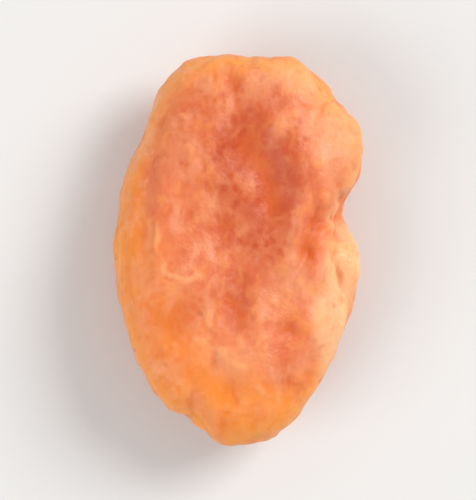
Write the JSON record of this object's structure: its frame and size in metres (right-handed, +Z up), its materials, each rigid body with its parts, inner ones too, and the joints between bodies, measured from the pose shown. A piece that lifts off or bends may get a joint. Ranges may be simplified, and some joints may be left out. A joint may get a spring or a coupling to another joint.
{
  "type": "dried apricot",
  "caption": "Whole pitted dried apricot, pressed flat, with a suture along one side and a small flat spot to rest on.",
  "frame": {"origin": "middle of the outline, on the surface that the fruit rests on", "axes": "+Z up out of the sunken face, +Y along the fruit from the stem end to the blossom end, +X towards the suture"},
  "size_m": [0.0216, 0.0338, 0.0108],
  "materials": {
    "skin": "soft satin, slightly translucent"
  },
  "bodies": {
    "root": {"dried_apricot": "skin"}
  },
  "joints": []
}
